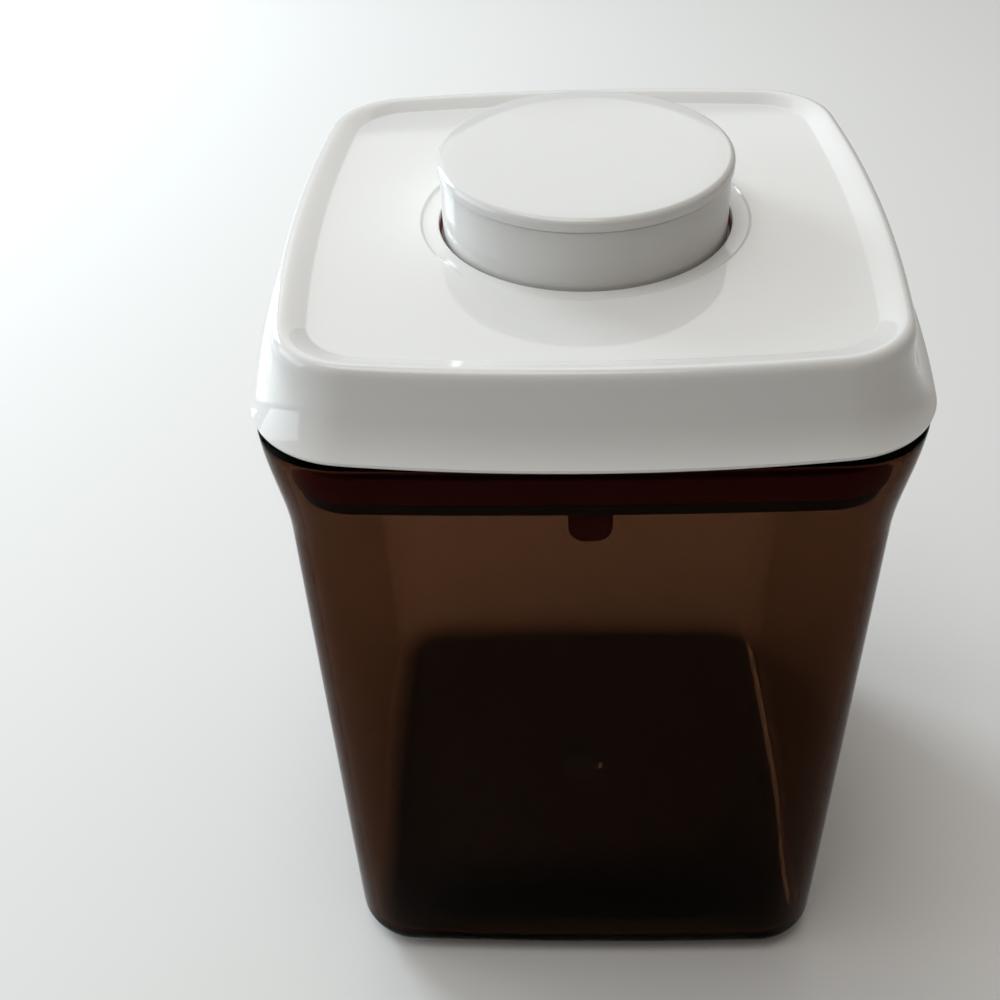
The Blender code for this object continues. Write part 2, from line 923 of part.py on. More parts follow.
def lid_base():
    plug_top = gasket_top + touch
    floor_clear = lip_clear + touch
    inner_clear = floor_clear + base_wall
    well_clear = inner_clear - base_wall / 2
    mouth = gasket_under
    rings = [
        (mouth_outline(mouth, floor_clear), base_floor_under),
        (mouth_outline(mouth, floor_clear), plug_top),
        (mouth_outline(mouth, tray_gap), plug_top),
        (mouth_outline(mouth, tray_gap), base_flange_under),
        (lid_outline(flange_half), base_flange_under),
        (lid_outline(flange_half), base_flange_top),
        (mouth_outline(mouth, well_clear), base_flange_top),
        (mouth_outline(mouth, well_clear), base_floor_top + base_wall),
        (mouth_outline(mouth, inner_clear), base_floor_top),
    ]
    obj = loft("lid_base", rings)
    join(obj, rod("guide_post", post_radius, base_floor_top - overlap, post_top))
    boss, bore = latch_boss()
    join(obj, boss)
    cut(obj, bore)
    for i in range(4):
        cut(obj, base_slot(f"base_slot_{i + 1}", i * math.pi / 2))
    half = heart_width / 2 + touch
    heart_slot = bar(
        "heart_slot",
        (latch_radius - touch, -half, base_floor_under - through),
        (latch_radius + heart_thickness + touch, half, base_floor_top + through),
        latch_angle,
    )
    cut(obj, heart_slot)
    for i, (x, y) in enumerate(screw_places()):
        hole = rod(
            f"base_screw_hole_{i + 1}",
            screw_shank_radius + touch,
            base_floor_under - through,
            base_floor_top + through,
            (x, y),
        )
        cut(obj, hole)
    shade(obj)
    paint(obj, "black_plastic")
    return obj


def screw_places():
    place = body_half - screw_inset
    return [(x * place, y * place) for x, y in ((-1, -1), (1, -1), (1, 1), (-1, 1))]


def base_screws():
    return [
        screw(f"base_screw_{i + 1}", place, base_floor_top + touch, base_screw_length, True)
        for i, place in enumerate(screw_places())
    ]


# The plug's lower tray, which carries the gasket and the pushers
def tab_face():
    """How far forward the pull tab's strap is, in the middle of the tray's rim."""
    return mouth_half(tray_under) - tray_gap - (tray_rim - tab_thickness) / 2


def tab_strap(name, clearance, low, high):
    """The space of the pull tab's strap, where it passes the tray at the front."""
    face = tab_face()
    return bar(
        name,
        (-tab_width / 2 - clearance, -face - clearance, low),
        (tab_width / 2 + clearance, -face + tab_thickness + clearance, high),
    )


def plug_tray():
    inner_clear = tray_gap + tray_rim
    seat_clear = lip_clear + touch
    rings = [
        (mouth_outline(tray_under, tray_gap), tray_under),
        (mouth_outline(tray_under, tray_gap), tray_top),
        (mouth_outline(gasket_under, seat_clear), tray_top),
        (mouth_outline(gasket_under, seat_clear), rail_top),
        (mouth_outline(tray_under, inner_clear), rail_top),
        (mouth_outline(tray_under, inner_clear), tray_floor_top),
    ]
    obj = loft("plug_tray", rings)
    for i in range(4):
        for side in (-1, 1):
            middle = side * rail_spacing / 2
            rail = bar(
                f"rail_{i + 1}_{'left' if side < 0 else 'right'}",
                (rail_start, middle - rail_width / 2, tray_floor_top - overlap),
                (rail_end, middle + rail_width / 2, rail_top),
                i * math.pi / 2,
            )
            join(obj, rail)
    for i, place in enumerate(screw_places()):
        post = rod(
            f"tray_post_{i + 1}",
            screw_shank_radius + touch + post_wall,
            tray_floor_top - overlap,
            base_floor_under - touch,
            place,
        )
        join(obj, post)
        hole = rod(
            f"tray_post_hole_{i + 1}",
            screw_shank_radius + touch,
            base_floor_top + touch - base_screw_length - touch,
            base_floor_under + through,
            place,
        )
        cut(obj, hole)
    cut(obj, tab_strap("tab_slot", touch, tray_under - through, rail_top + through))
    shade(obj)
    paint(obj, "black_plastic")
    return obj


def pull_knob():
    """The pull tab's thick round end, under the tray."""
    half = tab_width / 2
    low = tray_under - tab_length
    right = [(half, tray_under - touch)]
    for angle in between(0.0, math.pi / 2, 5):
        right.append(
            (
                half - tab_round * (1 - math.cos(angle)),
                low + tab_round * (1 - math.sin(angle)),
            )
        )
    points = right + [(-x, z) for x, z in reversed(right)]
    middle = tab_face() + touch - tab_depth / 2
    obj = plate("pull_knob", [points], tab_depth, facing_frame(-math.pi / 2, middle), helpers)
    soft_edge = obj.modifiers.new("soft_edge", "BEVEL")
    soft_edge.width = tab_soft_edge
    soft_edge.segments = 3
    soft_edge.angle_limit = math.radians(50)
    return obj


def gasket():
    """The red seal: a band with two inner lips, and a pull tab that hangs through the tray."""
    def ring(clearance, z):
        return mouth_outline(gasket_under, clearance), z

    rings = [
        ring(seal_gap + gasket_bead, gasket_under),
        ring(seal_gap, gasket_under + gasket_bead),
        ring(seal_gap, gasket_top - gasket_bead),
        ring(seal_gap + gasket_bead, gasket_top),
        ring(lip_clear, gasket_top),
        ring(lip_clear, gasket_top - gasket_lip),
        ring(band_clear, gasket_top - gasket_lip),
        ring(band_clear, gasket_under + gasket_lip),
        ring(lip_clear, gasket_under + gasket_lip),
        ring(lip_clear, gasket_under),
    ]
    obj = loft("gasket", rings, ring_shaped=True)
    knob_middle = tray_under - tab_length / 2
    join(obj, tab_strap("pull_strap", 0.0, knob_middle, gasket_under + gasket_lip / 2))
    join(obj, pull_knob())
    shade(obj)
    paint(obj, "red_silicone")
    return obj


# The four pushers: a bar behind the gasket, a stem, and an arm that leans on the plunger's fin
def bar_edge(clearance):
    """The mouth's outline on its +X side, cut off at the ends of a pusher's bar, from -Y to +Y."""
    side = [point for point in mouth_outline(gasket_under, clearance) if point[0] > abs(point[1])]
    side.sort(key=lambda point: point[1])
    half_bar = bar_length / 2
    edge = []
    for (x, y), (next_x, next_y) in zip(side, side[1:]):
        for end in (-half_bar, half_bar):
            if y < end < next_y:
                edge.append((x + (next_x - x) * (end - y) / (next_y - y), end))
        if abs(next_y) < half_bar:
            edge.append((next_x, next_y))
    return edge


def pusher_mesh():
    bar_clear = band_clear + touch + pusher_stroke
    bar_inner = mouth_half(gasket_under) - bar_clear - bar_depth
    stem = stem_width / 2
    half_bar = bar_length / 2

    def arm_face(z):
        return ramp_radius + touch + (z - fin_under) * ramp_slope

    inner_end = arm_face(pusher_under)
    points = [
        (inner_end, -stem),
        (stem_flare_start, -stem),
        (bar_inner, -half_bar),
        *bar_edge(bar_clear),
        (bar_inner, half_bar),
        (stem_flare_start, stem),
        (inner_end, stem),
    ]
    middle = Matrix.Translation((0, 0, (pusher_under + pusher_top) / 2))
    sled = plate("pusher_sled", [points], pusher_thickness, middle, helpers)
    arm_high = lid_z + arm_top
    arm_low = pusher_under
    arm_points = [
        (arm_face(arm_low), arm_low),
        (arm_outer_radius, arm_low),
        (arm_outer_radius, arm_high),
        (arm_face(arm_high), arm_high),
    ]
    arm = plate("pusher_arm", [arm_points], stem_width, side_frame(0), helpers)
    join(sled, arm)
    solid = fixed(sled)
    mesh = solid.data
    bpy.data.objects.remove(solid)
    bpy.data.objects.remove(arm)
    return mesh


def pushers():
    mesh = pusher_mesh()
    made = []
    turns = {"right": 0.0, "back": math.pi / 2, "left": math.pi, "front": -math.pi / 2}
    for side, turn in turns.items():
        obj = add_object(f"pusher_{side}", mesh.copy())
        obj.rotation_euler.z = turn
        paint(obj, "grey_acetal")
        made.append(obj)
    bpy.data.meshes.remove(mesh)
    return made


def main():
    clear_scene()
    container_body()
    lid_axis = axis_empty("lid_axis", (0, 0, lid_z))
    button_axis = axis_empty("button_axis", (0, 0, panel_top))
    pusher_axis = axis_empty("pusher_axis", (0, 0, pusher_under))
    fixed_in_lid = [
        lid_cover(),
        button_seal(),
        lid_base(),
        plug_tray(),
        gasket(),
        return_spring(),
        *base_screws(),
    ]
    parent_to(lid_axis, fixed_in_lid)
    moving_button = [button_cap(), button_shell(), plunger(), heart_plate(), *plunger_screws()]
    parent_to(button_axis, moving_button)
    parent_to(pusher_axis, pushers())
    parent_to(lid_axis, [latch_wire()])
    parent_to(lid_axis, [button_axis, pusher_axis])


main()
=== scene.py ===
"""Looks of the airtight food container: a smoke-tinted jar under a glossy white push-button lid.

Metres, +Z up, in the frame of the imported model. The front faces -Y.
"""

import math

import bmesh
import bpy
from mathutils import Matrix, Vector


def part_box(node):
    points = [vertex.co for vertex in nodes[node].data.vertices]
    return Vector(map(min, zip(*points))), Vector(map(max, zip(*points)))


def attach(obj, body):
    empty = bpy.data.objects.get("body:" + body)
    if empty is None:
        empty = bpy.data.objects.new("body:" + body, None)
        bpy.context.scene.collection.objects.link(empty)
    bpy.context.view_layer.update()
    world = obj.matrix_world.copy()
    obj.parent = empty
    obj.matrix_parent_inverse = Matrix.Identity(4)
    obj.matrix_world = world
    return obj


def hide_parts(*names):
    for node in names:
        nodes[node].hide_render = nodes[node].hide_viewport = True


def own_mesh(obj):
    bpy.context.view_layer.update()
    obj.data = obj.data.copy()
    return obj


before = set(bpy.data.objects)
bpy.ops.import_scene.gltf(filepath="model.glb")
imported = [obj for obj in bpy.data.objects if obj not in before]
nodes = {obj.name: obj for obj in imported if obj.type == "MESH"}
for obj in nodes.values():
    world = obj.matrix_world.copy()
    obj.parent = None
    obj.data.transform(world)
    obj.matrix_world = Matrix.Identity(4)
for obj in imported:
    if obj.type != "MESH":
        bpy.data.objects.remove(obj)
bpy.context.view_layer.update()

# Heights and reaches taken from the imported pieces
jar_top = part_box("container_body")[1].z
lid_low, lid_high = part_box("lid_cover")
button_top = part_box("button_cap")[1].z
gasket_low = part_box("gasket")[0]
base_low, base_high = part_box("lid_base")
tray_low, tray_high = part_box("plug_tray")
spring_low, spring_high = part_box("return_spring")

# Jar. The gate's nub is a profile of reaches and rises, in shares of gate_nub
body_half = 0.0638
body_corner = 0.0162
body_bow = 0.0008
body_draft = 0.0003
wall = 0.0026
floor_thickness = 0.0032
foot_radius = 0.0083
rim_flare = 0.0034
rim_corner = 0.0203
flare_height = 0.0277
gate_radius = 0.0070
gate_slope = 0.0020
gate_depth = 0.0009
gate_nub = 0.0008
gate_nub_shape = ((1.5, 0.0), (0.9, 0.5), (0.5, 0.8), (0.0, 0.85))
floor_sink = 0.0007
floor_sink_width = 0.0009
gloss_fade = 3.0

# Lid cover. Pairs are an inset from its full half width and a height over its lower edge
lid_z = lid_low.z
lid_half = lid_high.x
lid_corner = 0.0220
lid_bow = 0.0031
lid_wall = 0.0022
lid_edge_radius = 0.0014
lid_edge_steps = 9
cove = (0.0054, 0.0056)
shoulder = (0.0060, 0.0152)
crest = (0.0082, 0.0183)
crest_lean = 0.0002
crest_width = 0.0013
panel = (0.0131, 0.0166)
panel_corner = 0.0130
panel_bow = 0.0024
panel_dish = (0.0014, 0.0006)
lip_width = 0.0039
lip_depth = 0.0005
lip_step = 0.0008
edge_hold = 0.0003
hole_round = 0.0003
hole_trim = 0.00025
seat_rib_inset = 0.0076
seat_rib_width = 0.0016
rib_under = 0.0016

# Button, and the seal under the edge of its hole
button_radius = 0.0308
button_gap = 0.0011
button_wall = 0.0020
web_thickness = 0.0022
cap_thickness = 0.0026
cap_overhang = 0.0005
cap_round = 0.0014
cap_round_inset = 0.0040
cap_edge_height = 0.0006
cap_edge_round = 0.0002
flange_width = 0.0028
flange_thickness = 0.0016
seal_thickness = 0.0014
seal_width = 0.0037
seal_overhang = 0.0005
seal_round = 0.0005
seal_fence = 0.0014
skirt_round = 0.0003

# Gasket, tray and base
gasket_band = 0.0018
gasket_lip = 0.0012
gasket_lip_reach = 0.0011
gasket_bead = 0.0004
seal_gap = 0.0009
gasket_drop = 0.0061
gasket_height = 0.0061
tray_gap = 0.0011
tray_rim = 0.0040
tray_edge = 0.0008
plug_trim = 0.00035
tab_width = 0.0088
tab_thickness = 0.0016
tab_depth = 0.0046
tab_round = 0.0034
tab_soft_edge = 0.0010
tab_soft_angle = math.radians(50)

# Spring
spring_wire = 0.0010
spring_wire_sides = 12
spring_turns = 8
spring_points_a_turn = 32
spring_end_rise = 0.0015

# The gap between pieces that bear on each other, and what follows from the sizes
touch = 0.0003
panel_top = lid_z + panel[1]
panel_under = panel_top - lid_wall
hole_radius = button_radius + button_gap
hole_edge = hole_radius - hole_trim
seal_top = panel_under - touch
flange_top = seal_top - seal_thickness - touch
flange_under = flange_top - flange_thickness
web_top = button_top - cap_thickness - touch
web_under = web_top - web_thickness
gasket_top = lid_z - gasket_drop
gasket_under = gasket_top - gasket_height

# Meshes
steps_round = 256
turned_steps = 128
sharp_angle = math.radians(38)
weld_distance = 0.000002
sliver_length = 0.000001
pole_radius = 0.02
level_normal = 0.9999
corner_room = 0.45
corner_steps = 4


# Node trees
class Value:
    """A number in a node tree, so that node maths reads as plain expressions."""

    def __init__(self, tree, socket):
        self.tree = tree
        self.socket = socket

    def math(self, operation, *others):
        terms = dict(enumerate((self, *others)))
        return self.tree.add("ShaderNodeMath", {"operation": operation}, terms)

    def __add__(self, other):
        return self.math("ADD", other)

    __radd__ = __add__

    def __sub__(self, other):
        return self.math("SUBTRACT", other)

    def __rsub__(self, other):
        return self.tree.add("ShaderNodeMath", {"operation": "SUBTRACT"}, {0: other, 1: self})

    def __mul__(self, other):
        return self.math("MULTIPLY", other)

    def __truediv__(self, other):
        return self.math("DIVIDE", other)

    def __pow__(self, other):
        return self.math("POWER", other)

    def root(self):
        return self.math("SQRT")


class Tree:
    """A node tree whose nodes are made by type, settings and sockets."""

    def __init__(self, tree):
        self.tree = tree

    def add(self, kind, settings=(), sockets=(), out=0):
        made = self.tree.nodes.new(kind)
        for name, value in dict(settings).items():
            if name == "stops":
                self.set_stops(made.color_ramp, value)
            else:
                setattr(made, name, value)
        for key, value in dict(sockets).items():
            self.feed(made.inputs[key], value)
        return Value(self, made.outputs[out])

    def feed(self, socket, value):
        if isinstance(value, Value):
            self.tree.links.new(value.socket, socket)
        else:
            socket.default_value = value

    @staticmethod
    def set_stops(ramp, stops):
        while len(ramp.elements) < len(stops):
            ramp.elements.new(1.0)
        for element, (place, shade) in zip(ramp.elements, stops):
            colour = shade if isinstance(shade, tuple) else (shade, shade, shade)
            element.position = place
            element.color = (*colour, 1.0)


def open_group(name, inputs, output):
    """A new Geometry Nodes tree, and its inputs' values by name."""
    group = bpy.data.node_groups.new(name, "GeometryNodeTree")
    for label, kind in inputs.items():
        group.interface.new_socket(name=label, in_out="INPUT", socket_type=f"NodeSocket{kind}")
    group.interface.new_socket(name=output, in_out="OUTPUT", socket_type="NodeSocketGeometry")
    tree = Tree(group)
    given = group.nodes.new("NodeGroupInput")
    return tree, {label: Value(tree, given.outputs[label]) for label in inputs}


def close_group(tree, geometry, finish):
    """Paints a tree's geometry, makes it the tree's result, and gives the finished group."""
    whole = tree.add("GeometryNodeRealizeInstances", sockets={"Geometry": geometry})
    painted = tree.add("GeometryNodeSetMaterial", sockets={"Geometry": whole, "Material": finish})
    result = tree.tree.nodes.new("NodeGroupOutput")
    tree.feed(result.inputs[0], painted)
    return tree.tree


# Lofted pieces: rings of one outline above another, made by a Geometry Nodes tree
ring_values = ("half", "height", "corner", "bow", "roundness")


def lofted_tree():
    """Rings round the Z axis from a profile's points, which carry half width, height and shape.

    Each ring is a square with round corners whose sides are shallow arcs, or a circle.
    """
    inputs = {
        "Profile": "Geometry",
        "Steps Round": "Int",
        "Crowding": "Float",
        "Finish": "Material",
    }
    tree, given = open_group("lofted_rings", inputs, "Loft")
    profile = given["Profile"]
    steps = given["Steps Round"]

    points_of = {"component": "MESH"}
    rings = tree.add("GeometryNodeAttributeDomainSize", points_of, {"Geometry": profile})
    columns = steps + 1
    grid = tree.add("GeometryNodeMeshGrid", sockets={"Vertices X": rings, "Vertices Y": columns})
    index = tree.add("GeometryNodeInputIndex")
    ring = (index / columns).math("FLOOR")
    share = (index - ring * columns) / steps

    def of_ring(name):
        number = {"data_type": "FLOAT"}
        found = tree.add("GeometryNodeInputNamedAttribute", number, {"Name": name})
        sampled = {"Geometry": profile, "Value": found, "Index": ring}
        return tree.add("GeometryNodeSampleIndex", number, sampled)

    half, height, corner, bow, roundness = (of_ring(name) for name in ring_values)
    quarter = (share * 4).math("FRACT")
    crowded = (quarter * (2 * math.pi)).math("SINE") * given["Crowding"] / (2 * math.pi)
    angle = ((share * 4) + crowded) * (math.pi / 2)

    side_radius = ((half - corner) ** 2 + bow**2) / (bow * 2)
    side_centre = side_radius - half
    reach = side_radius - corner
    centre = ((reach**2 * 2 - side_centre**2).root() - side_centre) / 2
    turn_across = centre + corner * centre / reach
    turn_along = centre + corner * (centre + side_centre) / reach
    turn = turn_across.math("ARCTAN2", turn_along)
    in_quarter = angle.math("MODULO", math.pi / 2)
    folded = in_quarter.math("MINIMUM", math.pi / 2 - in_quarter)
    across = side_centre * folded.math("SINE")
    on_side = (side_radius**2 - across**2).root() - side_centre * folded.math("COSINE")
    along = centre * (folded.math("COSINE") + folded.math("SINE"))
    on_corner = along + (corner**2 - centre**2 * 2 + along**2).root()
    is_side = folded.math("LESS_THAN", turn)
    on_square = on_side * is_side + on_corner * (1 - is_side)
    radius = half * roundness + on_square * (1 - roundness)

    place = tree.add(
        "ShaderNodeCombineXYZ",
        sockets={"X": radius * angle.math("COSINE"), "Y": radius * angle.math("SINE"), "Z": height},
    )
    moved = tree.add("GeometryNodeSetPosition", sockets={"Geometry": grid, "Position": place})
    return close_group(tree, moved, given["Finish"])


def set_inputs(modifier, values):
    for item in modifier.node_group.interface.items_tree:
        if item.in_out == "INPUT" and item.name in values:
            modifier[item.identifier] = values[item.name]


def new_object(name, data):
    obj = bpy.data.objects.new(name, data)
    bpy.context.scene.collection.objects.link(obj)
    return obj


def made_plain(obj, name, body):
    """The mesh that an object's modifiers give, with its doubles merged, riding on a body."""
    graph = bpy.context.evaluated_depsgraph_get()
    mesh = bpy.data.meshes.new_from_object(obj.evaluated_get(graph))
    bpy.data.objects.remove(obj)
    mesh.name = name
    tidy_mesh(mesh)
    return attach(new_object(name, mesh), body)


def tidy_mesh(mesh):
    """Merges a mesh's doubles, turns its faces outwards and shades it smooth between its edges."""
    bm = bmesh.new()
    bm.from_mesh(mesh)
    bmesh.ops.remove_doubles(bm, verts=bm.verts, dist=weld_distance)
    bmesh.ops.dissolve_degenerate(bm, edges=bm.edges, dist=sliver_length)
    bmesh.ops.recalc_face_normals(bm, faces=bm.faces)
    bm.to_mesh(mesh)
    bm.free()
    mesh.shade_smooth()
    mesh.set_sharp_from_angle(angle=sharp_angle)


loft_group = lofted_tree()


def lofted(name, body, rings, finish, crowding=0.55, steps=steps_round):
    """A piece from rings of (half width, height, corner radius, bow of the sides, roundness).

    Crowding draws a ring's steps together towards its corners.
    """
    mesh = bpy.data.meshes.new(f"{name}_profile")
    mesh.from_pydata([(ring[0], 0, ring[1]) for ring in rings], [], [])
    for column, attribute in enumerate(ring_values):
        values = mesh.attributes.new(attribute, "FLOAT", "POINT")
        values.data.foreach_set("value", [ring[column] for ring in rings])
    obj = new_object(f"{name}_profile", mesh)
    modifier = obj.modifiers.new("loft", "NODES")
    modifier.node_group = loft_group
    set_inputs(modifier, {"Steps Round": steps, "Crowding": crowding, "Finish": finish})
    return made_plain(obj, name, body)


def turned(name, body, profile, finish, closed=False):
    """A piece turned from (radius, height) points."""
    points = profile + profile[:1] if closed else profile
    rings = [circle(radius, z) for radius, z in points]
    return lofted(name, body, rings, finish, crowding=0.0, steps=turned_steps)


def slab(name, outline, front, depth, finish):
    """A flat outline in X and Z, with a depth along Y behind its front."""
    bm = bmesh.new()
    bm.faces.new([bm.verts.new((x, front, z)) for x, z in outline])
    side = bmesh.ops.extrude_face_region(bm, geom=list(bm.faces))
    moved = [part for part in side["geom"] if isinstance(part, bmesh.types.BMVert)]
    bmesh.ops.translate(bm, vec=(0, depth, 0), verts=moved)
    bmesh.ops.recalc_face_normals(bm, faces=bm.faces)
    mesh = bpy.data.meshes.new(name)
    bm.to_mesh(mesh)
    bm.free()
    mesh.materials.append(finish)
    return new_object(name, mesh)


def square(half, z, corner, bow):
    return half, z, corner, bow, 0.0


def circle(radius, z):
    """A round ring. Its corner and bow aren't used, and only have to make a true outline."""
    return radius, z, radius / 2 + touch, touch, 1.0


# Profiles
def between(start, end, count):
    return [start + (end - start) * i / (count - 1) for i in range(count)]


def fillet(radius, steps):
    """Insets and heights up a quarter round that starts level and ends upright."""
    angles = between(math.pi / 2, 0.0, steps)
    return [(radius * (1 - math.cos(angle)), radius * (1 - math.sin(angle))) for angle in angles]


def smooth_step(share):
    share = min(max(share, 0.0), 1.0)
    return share * share * (3 - 2 * share)


def bezier(points, count):
    found = []
    for share in between(0.0, 1.0, count):
        left = [Vector(p) for p in points]
        while len(left) > 1:
            left = [a.lerp(b, share) for a, b in zip(left, left[1:])]
        found.append(tuple(left[0]))
    return found


def rounded(points, radius, closed=True):
    """A profile whose corners are rounded, as far as its runs leave room."""
    found = []
    count = len(points)
    for i, point in enumerate(points):
        here = Vector(point)
        before, after = Vector(points[i - 1]), Vector(points[(i + 1) % count])
        if not closed and i in (0, count - 1):
            found.append(tuple(here))
            continue
        shorter = min((before - here).length, (after - here).length)
        room = min(radius, shorter * corner_room)
        start = here + (before - here).normalized() * room
        end = here + (after - here).normalized() * room
        found += bezier((start, here, end), corner_steps + 1)
    return found


def body_section(z):
    """Outer half width and corner radius of the jar at a height."""
    flare = smooth_step((z - jar_top + flare_height) / flare_height)
    lower = max(0.0, (jar_top - flare_height - z) / (jar_top - flare_height))
    half = body_half - body_draft * lower + rim_flare * flare
    return half, body_corner + (rim_corner - body_corner) * flare


def jar_ring(z, inset=0.0, height=None):
    """A ring of the jar's outline at z, drawn in by an inset, and laid at a height of its own."""
    half, corner = body_section(z)
    return square(half - inset, z if height is None else height, corner - inset, body_bow)


def mouth_ring(clearance, z):
    """A ring that clears the jar's inner wall at the gasket."""
    return jar_ring(gasket_under, wall + clearance, z)


def lid_ring(half, z):
    """A ring of the lid's outline, whose corners tighten from its lower edge up to its panel."""
    share = (lid_half - half) / panel[0]
    corner = lid_corner + (panel_corner - lid_corner) * share
    return square(half, z, corner, lid_bow + (panel_bow - lid_bow) * share)


# The jar
def build_jar(finish):
    inner_foot = foot_radius - wall
    straight_low = max(foot_radius, floor_thickness + floor_sink + inner_foot)
    flare_low = jar_top - flare_height
    rim_round = wall / 2
    rim_low = jar_top - rim_round
    rings = [circle(0.0, 0.0), circle(pole_radius, 0.0)]
    rings += [jar_ring(z, inset) for inset, z in fillet(foot_radius, steps=13)]
    rings += [jar_ring(z) for z in between(straight_low, flare_low, count=6)[1:]]
    rings += [jar_ring(z) for z in between(flare_low, rim_low, count=20)[1:]]
    for angle in between(0.0, math.pi, count=9)[1:-1]:
        z = rim_low + rim_round * math.sin(angle)
        rings.append(jar_ring(z, rim_round * (1 - math.cos(angle))))
    rings += [jar_ring(z, wall) for z in between(rim_low, flare_low, count=20)]
    rings += [jar_ring(z, wall) for z in between(flare_low, straight_low, count=6)[1:-1]]

    foot_top = floor_thickness + floor_sink
    for inset, rise in reversed(fillet(inner_foot, steps=11)):
        rings.append(jar_ring(foot_top + rise, wall + inset))
    sunk = wall + inner_foot + edge_hold
    rings += [
        jar_ring(foot_top, sunk),
        jar_ring(floor_thickness, sunk + floor_sink_width),
        jar_ring(floor_thickness, sunk + floor_sink_width + edge_hold),
        circle(pole_radius, floor_thickness),
    ]
    for share in between(0.0, 1.0, count=11):
        z = floor_thickness - gate_depth * smooth_step(share)
        rings.append(circle(gate_radius - gate_slope * share, z))
    for reach, rise in gate_nub_shape:
        z = floor_thickness - gate_depth + gate_nub * rise
        rings.append(circle(gate_nub * reach, z))
    piece = lofted("jar", "container", rings, finish)
    add_floor_gloss(piece.data, flare_low)
    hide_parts("container_body")


def add_floor_gloss(mesh, top):
    """An attribute that is 1 on the jar's inner floor and fades out up the fillet round it."""
    gloss = mesh.attributes.new("floor_gloss", "FLOAT", "POINT")
    for share, vertex in zip(gloss.data, mesh.vertices):
        facing_up = gloss_fade * vertex.normal.z if vertex.co.z < top else 0.0
        share.value = min(max(facing_up, 0.0), 1.0)


# The lid's cover
def cover_side():
    """The cover's outer side as (half width, height) points, from its lower edge to its panel."""

    def at(place):
        return lid_half - place[0], lid_z + place[1]

    lower_edge = [at(place) for place in fillet(lid_edge_radius, lid_edge_steps)]
    round_over = (lid_half - shoulder[0] - crest_lean, lid_z + crest[1])
    crest_hold = (lid_half - crest[0] - crest_width, lid_z + crest[1])
    edge = at(panel)
    panel_hold = (edge[0] + panel_dish[0], edge[1] + panel_dish[1])
    flank = bezier((lower_edge[-1], at(cove), at(shoulder)), count=25)
    top = bezier((at(shoulder), round_over, at(crest)), count=13)
    inner = bezier((at(crest), crest_hold, panel_hold, edge), count=15)
    return lower_edge + flank[1:] + top[1:] + inner[1:]


def build_lid(finish):
    side = cover_side()
    rings = [lid_ring(half, z) for half, z in side]
    lip_radius = hole_radius + lip_width
    lip_low = panel_top - lip_depth
    rings += [
        lid_ring(side[-1][0] - edge_hold, panel_top),
        circle(lip_radius + edge_hold, panel_top),
    ]
    for share in between(0.0, 1.0, count=7):
        z = panel_top - lip_depth * smooth_step(share)
        rings.append(circle(lip_radius - lip_step * share, z))
    rings.append(circle(hole_edge + hole_round + edge_hold, lip_low))
    for inset, fall in fillet(hole_round, steps=5):
        rings.append(circle(hole_edge + inset, lip_low - fall))
    fence = hole_radius - seal_overhang + seal_width + touch
    fence_under = seal_top - seal_thickness
    rings += [
        circle(hole_edge, panel_under),
        circle(fence, panel_under),
        circle(fence, fence_under),
        circle(fence + seal_fence, fence_under),
        circle(fence + seal_fence, panel_under),
    ]
    rib_outer = lid_half - seat_rib_inset
    rib_inner = rib_outer - seat_rib_width
    rings += [
        lid_ring(rib_inner - seat_rib_width, panel_under),
        lid_ring(rib_inner, panel_under + seat_rib_width / 2),
        lid_ring(rib_inner, lid_z + rib_under),
        lid_ring(rib_outer, lid_z + rib_under),
    ]
    rings += [lid_ring(half, z) for half, z in cover_inside(side, rib_outer)]
    rings.append(rings[0])
    piece = lofted("lid_top", "lid", rings, finish)
    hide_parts("lid_cover")


def cover_inside(side, rib_outer):
    """The inner side of the cover's wall, from its seat rib down to its lower edge."""
    inside = []
    outside = [p for p in side[lid_edge_steps - 1 :] if p[1] <= lid_z + shoulder[1]]
    for before, here, after in zip(outside, outside[1:], outside[2:]):
        run = Vector(after) - Vector(before)
        normal = Vector((-run.y, run.x)).normalized()
        inside.append(tuple(Vector(here) + normal * lid_wall))
    inside = [p for p in inside if p[0] > rib_outer + seat_rib_width / 2]
    return [(rib_outer, inside[-1][1]), *reversed(inside)]


# The button and its seal
def build_button(finish, seal_finish):
    radius = button_radius + cap_overhang
    under = button_top - cap_thickness
    cap = [(0.0, button_top), (radius - cap_round - cap_round_inset, button_top)]
    cap += [(radius - inset, button_top - fall) for inset, fall in fillet(cap_round, steps=9)]
    edge = [(radius, under + cap_edge_height), (radius, under), (0.0, under)]
    cap += rounded(edge, cap_edge_round, closed=False)
    piece = turned("press_cap", "button", cap, finish)
    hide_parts("button_cap")

    inner = button_radius - button_wall
    skirt = rounded(
        [
            (0.0, web_top),
            (button_radius, web_top),
            (button_radius, flange_top),
            (button_radius + flange_width, flange_top),
            (button_radius + flange_width, flange_under),
            (inner, flange_under),
            (inner, web_under),
            (0.0, web_under),
        ],
        skirt_round,
        closed=False,
    )
    piece = turned("button_skirt", "button", skirt, finish)
    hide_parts("button_shell")

    low = hole_radius - seal_overhang
    ring = rounded(
        [
            (low + seal_width, seal_top),
            (low + seal_width, seal_top - seal_thickness),
            (low, seal_top - seal_thickness),
            (low, seal_top),
        ],
        seal_round,
    )
    piece = turned("hole_seal", "lid", ring, seal_finish, closed=True)
    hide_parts("button_seal")


